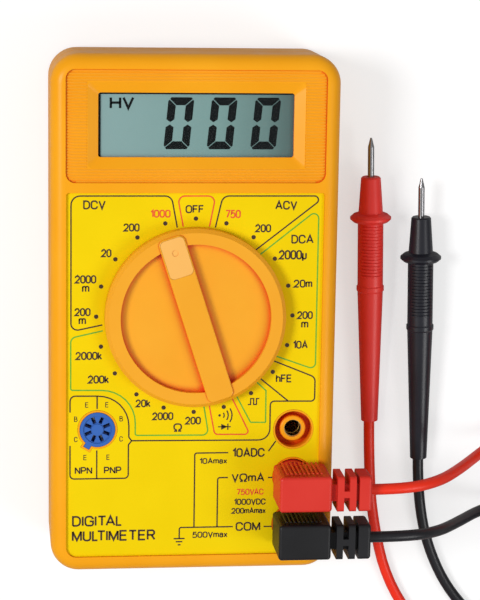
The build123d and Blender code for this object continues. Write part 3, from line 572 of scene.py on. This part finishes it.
def make_print():
    """Everything printed on the label: one piece for each ink."""
    dark = bmesh.new()
    print_lines(dark, DARK_LINES)
    print_symbols(dark)
    for text, centre, width, height in DARK_WORDS:
        add_text(dark, text, centre, width, height, *INK, stroke=pen_width(height))
    for text, centre in SMALL_LETTERS:
        add_text(dark, text, centre, *SMALL_SIZE, *INK, stroke=0.19)
    finish_mesh("print_dark", dark, INK_DARK)
    red = bmesh.new()
    print_lines(red, RED_LINES)
    for text, centre, width, height in RED_WORDS:
        add_text(red, text, centre, width, height, *INK, stroke=pen_width(height))
    finish_mesh("print_red", red, INK_RED)
    green = bmesh.new()
    print_lines(green, GREEN_LINES)
    finish_mesh("print_green", green, INK_GREEN)


# ---- display ------------------------------------------------------------------------------------
LCD_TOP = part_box("lcd_front_glass")[1][2] / MM
SEGMENT = (LCD_TOP + 0.005, LCD_TOP + 0.03)
DIGIT_HEIGHT, DIGIT_WIDTH, STROKE, SLANT = 12.5, 6.2, 1.9, math.tan(math.radians(5.5))
DIGIT_CENTRES = (-4.2, 6.25, 16.8)
DIGIT_Y = 47.35


def seven_segment_zero(bm, centre_x):
    """The six lit strokes of a slanted nought, with thin gaps at their mitres."""
    half_w, half_h, gap = DIGIT_WIDTH / 2, DIGIT_HEIGHT / 2, 0.13
    inner_w, inner_h = half_w - STROKE, half_h - STROKE
    cut = 0.55
    top = [(-half_w + gap + cut, half_h), (half_w - gap - cut, half_h), (half_w - gap - 0.25, half_h - 0.4),
           (inner_w - gap, inner_h), (-inner_w + gap, inner_h), (-half_w + gap + 0.25, half_h - 0.4)]
    side = [(-half_w, half_h - gap - 0.75), (-half_w + 0.3, half_h - gap - 0.45), (-inner_w, inner_h - gap),
            (-inner_w, 0.95), (-half_w + STROKE / 2, 0.28), (-half_w, 0.95)]
    strokes = []
    for flip_y in (1, -1):
        strokes.append([(x, y * flip_y) for x, y in top])
        for flip_x in (1, -1):
            strokes.append([(x * flip_x, y * flip_y) for x, y in side])
    for stroke in strokes:
        leaning = [(centre_x + x + y * SLANT, DIGIT_Y + y) for x, y in stroke]
        add_prism(bm, leaning, *SEGMENT)


def make_display():
    bm = bmesh.new()
    for centre_x in DIGIT_CENTRES:
        seven_segment_zero(bm, centre_x)
    add_text(bm, "HV", (-17.9, 52.2), 5.9, 3.1, *SEGMENT, stroke=0.58)
    finish_mesh("lcd_segments", bm, LCD_DARK)


PANEL = {"x": (-31.2, 31.2), "y": (33.4, 60.2), "top": 24.9, "corner": 2.2,
         "hole_x": 26.4, "hole_y": (36.4, 57.6)}
RIB_PITCH, RIB_WIDTH, RIB_HEIGHT = 0.72, 0.44, 0.12


def make_panel_ribs():
    """Fine moulded ribs across the surface round the display."""
    bm = bmesh.new()
    count = int((PANEL["y"][1] - PANEL["y"][0]) / RIB_PITCH)
    for row in range(count + 1):
        y = PANEL["y"][0] + row * RIB_PITCH
        inset = 0.0
        for edge in PANEL["y"]:
            near = PANEL["corner"] - abs(y - edge)
            if near > 0:
                inset = PANEL["corner"] - math.sqrt(PANEL["corner"] ** 2 - near ** 2)
        left, right = PANEL["x"][0] + inset, PANEL["x"][1] - inset
        crosses = PANEL["hole_y"][0] < y < PANEL["hole_y"][1]
        spans = [(left, -PANEL["hole_x"]), (PANEL["hole_x"], right)] if crosses else [(left, right)]
        for start, end in spans:
            add_rib(bm, start, end, y, PANEL["top"])
    finish_mesh("display_panel_ribs", bm, ORANGE_RIBS, angle=50.0)


def add_rib(bm, start, end, y, top):
    """One low rib with a rounded back."""
    profile = [(-0.5, -0.01), (-0.36, 0.6), (-0.14, 1.0), (0.14, 1.0), (0.36, 0.6), (0.5, -0.01)]
    rings = []
    for x in (start, end):
        rings.append([bm.verts.new((x * MM, (y + a * RIB_WIDTH) * MM, (top + b * RIB_HEIGHT) * MM))
                      for a, b in profile])
    count = len(profile)
    for k in range(count):
        bm.faces.new((rings[0][k], rings[0][(k + 1) % count], rings[1][(k + 1) % count], rings[1][k]))
    bm.faces.new(rings[0][::-1])
    bm.faces.new(rings[1])


# ---- test leads ---------------------------------------------------------------------------------
CORD_DIAMETER = 2.8
FLOOR = CORD_DIAMETER / 2
LAYER = 3 * FLOOR
TURN_OUTER = 20.0
TURN_STEP = 2.9
TURN_POINTS = 16
SPLINE_SHRINK = 0.97        # how far inside its control points a round turn of the spline lies


def coil_points(centre, start_angle, turns):
    """Control points of a clockwise two-layer coil: inwards along the floor, then outwards on top."""
    count = round(turns * TURN_POINTS)
    points = []
    for step in range(1, count):
        done = step / TURN_POINTS
        depth = min(done, turns - done)
        radius = (TURN_OUTER - TURN_STEP * depth) / SPLINE_SHRINK
        climb = max(0.0, min(1.0, (done - turns / 2) / 0.5 + 0.5))
        angle = math.radians(start_angle - 360 * done)
        points.append((centre[0] + radius * math.cos(angle), centre[1] + radius * math.sin(angle),
                       FLOOR + (LAYER - FLOOR) * climb * climb * (3 - 2 * climb) + 0.02))
    return points


def probe_exit(handle):
    """Where the cord leaves a probe's rear end, and a point straight behind it. Millimetres."""
    mesh = NODES[handle].data
    rear = min(mesh.polygons, key=lambda p: p.center.y + 1e3 * abs(p.normal.y + 1) * MM)
    level = [v.co for v in mesh.vertices if v.co.y < rear.center.y + 0.25 * MM]
    middle = sum(level, Vector()) / len(level) / MM
    behind = middle + rear.normal.normalized() * 9.0
    return tuple(middle), tuple(behind)


RED_COIL = (110.0, -20.0)
BLACK_COIL = (106.0, -73.2)
EXIT_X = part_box("red_strain_relief")[1][0] / MM
EXIT_Z = (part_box("red_strain_relief")[0][2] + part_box("red_strain_relief")[1][2]) / 2 / MM
RED_Y = (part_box("red_strain_relief")[0][1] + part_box("red_strain_relief")[1][1]) / 2 / MM
BLACK_Y = (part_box("black_strain_relief")[0][1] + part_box("black_strain_relief")[1][1]) / 2 / MM
RED_REAR, RED_BEHIND = probe_exit("red_probe_handle")
BLACK_REAR, BLACK_BEHIND = probe_exit("black_probe_handle")

RED_ROUTE = [
    (EXIT_X, RED_Y, EXIT_Z), (52, RED_Y, EXIT_Z), (61, -40.6, 30), (68, -40.2, 20.5), (74.5, -39.6, 10.5),
    (81.5, -37.3, 3.5), (87.6, -30.5, FLOOR + 0.1), (90, -20, FLOOR),
    *coil_points(RED_COIL, 180.0, 4.5),
    (130, -20, LAYER), (130.6, -33, 3.2), (133.2, -50, FLOOR), (132.5, -72, FLOOR), (124, -91, FLOOR),
    (107, -102.5, FLOOR), (86, -103, FLOOR), (67, -94, FLOOR), (54, -77, FLOOR), (49.2, -57, FLOOR),
    RED_BEHIND, RED_REAR]
BLACK_ROUTE = [
    (EXIT_X, BLACK_Y, EXIT_Z), (52, BLACK_Y, EXIT_Z), (61, -54, 29), (68.5, -54.7, 18.5), (76.5, -54.7, 8),
    (86, -54, 2.6), (95.5, -53.5, FLOOR + 0.1), (106, -53.2, FLOOR),
    *coil_points(BLACK_COIL, 90.0, 5.5),
    (106, -93.2, LAYER), (94, -93.8, 2.9), (81, -89.5, FLOOR), (70.5, -79, FLOOR), (64, -65.5, FLOOR),
    BLACK_BEHIND, BLACK_REAR]


def cord_curve(points, radius):
    """A smooth tube, or with no radius its centreline, along control points in millimetres."""
    curve = bpy.data.curves.new("route", "CURVE")
    curve.dimensions = "3D"
    curve.resolution_u = 6
    curve.bevel_depth = radius * MM
    curve.bevel_resolution = 4
    curve.use_fill_caps = True
    spline = curve.splines.new("NURBS")
    spline.points.add(len(points) - 1)
    for point, place in zip(spline.points, points):
        point.co = (place[0] * MM, place[1] * MM, place[2] * MM, 1.0)
    spline.order_u = 3
    spline.use_endpoint_u = True
    holder = bpy.data.objects.new("route", curve)
    mesh = bpy.data.meshes.new_from_object(holder)
    bpy.data.objects.remove(holder)
    bpy.data.curves.remove(curve)
    return mesh


def make_cord(colour, route, material, extras):
    """One lead's cord: a single fixed tube along its whole route; the frame's own cord runs are hidden."""
    line = cord_curve(route, 0.0)
    bpy.data.meshes.remove(line)
    mesh = cord_curve(route, CORD_DIAMETER / 2)
    mesh.name = f"{colour}_cord"
    mesh.shade_smooth()
    piece = bpy.data.objects.new(f"{colour}_cord", mesh)
    mesh.materials.clear()
    mesh.materials.append(material)
    bpy.context.scene.collection.objects.link(piece)
    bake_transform(piece)
    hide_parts(f"{colour}_cord_plug_run", f"{colour}_cord_coil", f"{colour}_cord_probe_run")


# ---- small parts that the frame leaves plain ----------------------------------------------------
def ring(bm, centre, axis_frame, radius, inner, low, high, steps=40):
    """A flat-ended tube about the frame's local Z. Millimetres."""
    loops = []
    for r, z in ((radius, low), (radius, high), (inner, high), (inner, low)):
        loop = []
        for k in range(steps):
            angle = 2 * math.pi * k / steps
            local = Vector((r * math.cos(angle), r * math.sin(angle), z))
            loop.append(bm.verts.new((centre + axis_frame @ local) * MM))
        loops.append(loop)
    for index in range(4):
        one, two = loops[index], loops[(index + 1) % 4]
        for k in range(steps):
            bm.faces.new((one[k], one[(k + 1) % steps], two[(k + 1) % steps], two[k]))


SLEEVE_OUTER, SLEEVE_INNER, SLEEVE_TOP = 2.19, 2.03, 23.3


def make_jack_sleeves():
    """The bright mouth of each metal tube, just inside its moulded hole."""
    for name in ("jack_10a", "jack_voltage", "jack_common"):
        low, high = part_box(name)
        centre = Vector(((low[0] + high[0]) / 2 / MM, (low[1] + high[1]) / 2 / MM, 0))
        bm = bmesh.new()
        ring(bm, centre, Matrix.Identity(3), SLEEVE_OUTER, SLEEVE_INNER, high[2] / MM, SLEEVE_TOP)
        finish_mesh(f"{name}_sleeve", bm, BRASS, angle=40.0)


def make_painted_window_shadow():
    """Painted shadow: a dark strip on the display along the left and upper edges of the window, where the
    window's walls shade it.
    """
    low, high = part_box("display_window")
    left, top = low[0] / MM, high[1] / MM
    bm = bmesh.new()
    level = (LCD_TOP + 0.01, LCD_TOP + 0.09)
    add_prism(bm, [(left, low[1] / MM), (left + 0.55, low[1] / MM), (left + 0.55, top - 0.4),
                   (high[0] / MM, top - 0.4), (high[0] / MM, top), (left, top)], *level)
    finish_mesh("painted_window_shadow", bm, LCD_DARK)


PLUG_RIBS, PLUG_RIB_START, PLUG_RIB_PITCH, PLUG_RIB_FOOT = 9, 1.9, 1.05, 27.4


def make_grip_ribs(colour, material):
    """Upright finger ribs on the two long sides of a plug."""
    low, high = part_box(f"{colour}_plug_body")
    bm = bmesh.new()
    for side in (0, 1):
        face = (low, high)[side][1] / MM
        outward = (-1, 1)[side]
        for step in range(PLUG_RIBS):
            x = low[0] / MM + PLUG_RIB_START + PLUG_RIB_PITCH * step
            outline = [(x - 0.28, face - 0.1 * outward), (x - 0.12, face + 0.1 * outward),
                       (x + 0.12, face + 0.1 * outward), (x + 0.28, face - 0.1 * outward)]
            add_prism(bm, outline[::outward], PLUG_RIB_FOOT, high[2] / MM - 1.1)
    finish_mesh(f"{colour}_plug_ribs", bm, material, f"{colour}_plug", 30.0)


def probe_frame(colour):
    """A probe's tip and the turn that takes local Z along it towards its rear. Millimetres."""
    tip = Vector(max((v.co for v in NODES[f"{colour}_probe_needle"].data.vertices), key=lambda co: co.y)) / MM
    rear, _ = probe_exit(f"{colour}_probe_handle")
    along = (Vector(rear) - tip).normalized()
    return tip, along.to_track_quat("Z", "Y").to_matrix()


GRIP_START, GRIP_END, GRIP_RADIUS, GRIP_PITCH = 22.6, 37.0, 3.25, 0.85


def make_probe_ribs(colour, material):
    """Fine cross ribs on two pads of a probe's grip."""
    tip, turn = probe_frame(colour)
    bm = bmesh.new()
    count = int((GRIP_END - GRIP_START) / GRIP_PITCH)
    for row in range(count):
        along = GRIP_START + row * GRIP_PITCH
        for pad in (0.0, math.pi):
            rings = []
            for step in range(9):
                angle = pad + math.radians(-52 + 13 * step)
                outward = Vector((math.sin(angle), math.cos(angle), 0))
                root, crest = GRIP_RADIUS - 0.1, GRIP_RADIUS + 0.16
                profile = [(root, -0.26), (crest, -0.14), (crest, 0.14), (root, 0.26)]
                rings.append([bm.verts.new((tip + turn @ (outward * r + Vector((0, 0, along + dz)))) * MM)
                              for r, dz in profile])
            for one, two in zip(rings, rings[1:]):
                for k in range(4):
                    bm.faces.new((one[k], one[(k + 1) % 4], two[(k + 1) % 4], two[k]))
            bm.faces.new(rings[0])
            bm.faces.new(rings[-1][::-1])
    piece = finish_mesh(f"{colour}_grip_ribs", bm, material, angle=40.0)
    return piece


def make_tie(colour, centre, angle, inner):
    """A flat twist tie round the turns of a coil."""
    bm = bmesh.new()
    half, thick = 1.6, 0.45
    top = LAYER + FLOOR + 0.45
    outer = TURN_OUTER + FLOOR + 0.35
    loop = [(inner, 0.0), (outer, 0.0), (outer, top), (inner, top)]
    shell = [(inner + thick, thick), (outer - thick, thick), (outer - thick, top - thick),
             (inner + thick, top - thick)]
    turn = Matrix.Rotation(math.radians(angle), 3, "Z")
    place = Vector((centre[0], centre[1], 0))
    sides = []
    for y in (-half, half):
        sides.append([[bm.verts.new((place + turn @ Vector((x, y, z))) * MM) for x, z in loop],
                      [bm.verts.new((place + turn @ Vector((x, y, z))) * MM) for x, z in shell]])
    for k in range(4):
        n = (k + 1) % 4
        (a_out, a_in), (b_out, b_in) = sides
        bm.faces.new((a_out[k], a_out[n], b_out[n], b_out[k]))
        bm.faces.new((a_in[k], b_in[k], b_in[n], a_in[n]))
        bm.faces.new((a_out[k], a_in[k], a_in[n], a_out[n]))
        bm.faces.new((b_out[k], b_out[n], b_in[n], b_in[k]))
    piece = finish_mesh(f"{colour}_coil_tie", bm, BLACK_EPOXY)
    bevel = piece.modifiers.new("soft_edges", "BEVEL")
    bevel.width = 0.15 * MM
    bevel.segments = 2
    return piece


make_print()
make_display()
make_panel_ribs()
make_jack_sleeves()
make_painted_window_shadow()
make_grip_ribs("red", RED_VINYL)
make_grip_ribs("black", BLACK_VINYL)
make_probe_ribs("red", RED_PROBE)
make_probe_ribs("black", BLACK_PROBE)
make_cord("red", RED_ROUTE, RED_CORD, [make_tie("red", RED_COIL, 20.0, 11.7)])
make_cord("black", BLACK_ROUTE, BLACK_CORD, [make_tie("black", BLACK_COIL, -20.0, 10.3)])


# ---- stage, light and camera --------------------------------------------------------------------
def make_stage():
    """A white floor that shows the shadows, and a sky that is darker towards its foot."""
    mesh = bpy.data.meshes.new("floor")
    reach = 3.0
    corners = [(-reach, -reach, 0), (reach, -reach, 0), (reach, reach, 0), (-reach, reach, 0)]
    mesh.from_pydata(corners, [], [(0, 1, 2, 3)])
    floor = bpy.data.objects.new("floor", mesh)
    bpy.context.scene.collection.objects.link(floor)
    floor.location.z = -0.0001
    material, tree, shader = new_material("floor")
    shader.inputs["Base Color"].default_value = (0.5, 0.5, 0.5, 1.0)
    shader.inputs["Roughness"].default_value = 0.9
    shader.inputs["Specular IOR Level"].default_value = 0.1
    shader.inputs["Emission Color"].default_value = (1.0, 1.0, 1.0, 1.0)
    ray = tree.nodes.new("ShaderNodeLightPath")
    level = tree.nodes.new("ShaderNodeMapRange")
    level.inputs["To Max"].default_value = 0.55
    tree.links.new(ray.outputs["Is Camera Ray"], level.inputs["Value"])
    tree.links.new(level.outputs["Result"], shader.inputs["Emission Strength"])
    mesh.materials.append(material)
    world = bpy.data.worlds.new("studio")
    world.use_nodes = True
    tree = world.node_tree
    back = tree.nodes["Background"]
    back.inputs["Strength"].default_value = 0.5
    place = tree.nodes.new("ShaderNodeTexCoord")
    split = tree.nodes.new("ShaderNodeSeparateXYZ")
    ramp = tree.nodes.new("ShaderNodeValToRGB")
    ramp.color_ramp.elements[0].position = 0.05
    ramp.color_ramp.elements[0].color = (0.35, 0.35, 0.36, 1.0)
    ramp.color_ramp.elements[1].position = 0.75
    ramp.color_ramp.elements[1].color = (1.0, 1.0, 1.0, 1.0)
    tree.links.new(place.outputs["Generated"], split.inputs["Vector"])
    tree.links.new(split.outputs["Z"], ramp.inputs["Fac"])
    tree.links.new(ramp.outputs["Color"], back.inputs["Color"])
    bpy.context.scene.world = world


def area_light(name, place, target, size, power):
    """A round lamp aimed at a point. Metres and watts."""
    data = bpy.data.lights.new(name, "AREA")
    data.shape = "DISK"
    data.size = size
    data.energy = power
    lamp = bpy.data.objects.new(name, data)
    bpy.context.scene.collection.objects.link(lamp)
    lamp.location = place
    lamp.rotation_euler = (Vector(target) - Vector(place)).to_track_quat("-Z", "Y").to_euler()


CAMERA_PLACE = (-0.0477, 0.1014, 0.5341)
CAMERA_TURN = (10.751, 6.474, -0.279)       # degrees about each axis, as one rotation vector
CAMERA_LENS = 128.388


def make_camera():
    """The fitted viewpoint: above the upper left of the meter, looking a little down and to the right."""
    turn = Vector(CAMERA_TURN) * math.pi / 180
    world_to_camera = Matrix.Rotation(turn.length, 3, turn.normalized())
    data = bpy.data.cameras.new("camera")
    data.sensor_width = 36.0
    data.lens = CAMERA_LENS
    data.clip_start, data.clip_end = 0.01, 20.0
    camera = bpy.data.objects.new("camera", data)
    bpy.context.scene.collection.objects.link(camera)
    camera.location = CAMERA_PLACE
    camera.rotation_euler = world_to_camera.transposed().to_euler()
    bpy.context.scene.camera = camera


make_stage()
area_light("key", (-0.85, 0.15, 1.0), (0.0, 0.0, 0.02), 0.45, 10.5)
area_light("fill", (0.85, -0.45, 0.9), (0.02, 0, 0.02), 0.6, 4.5)
make_camera()
bpy.context.scene.view_settings.view_transform = "Standard"
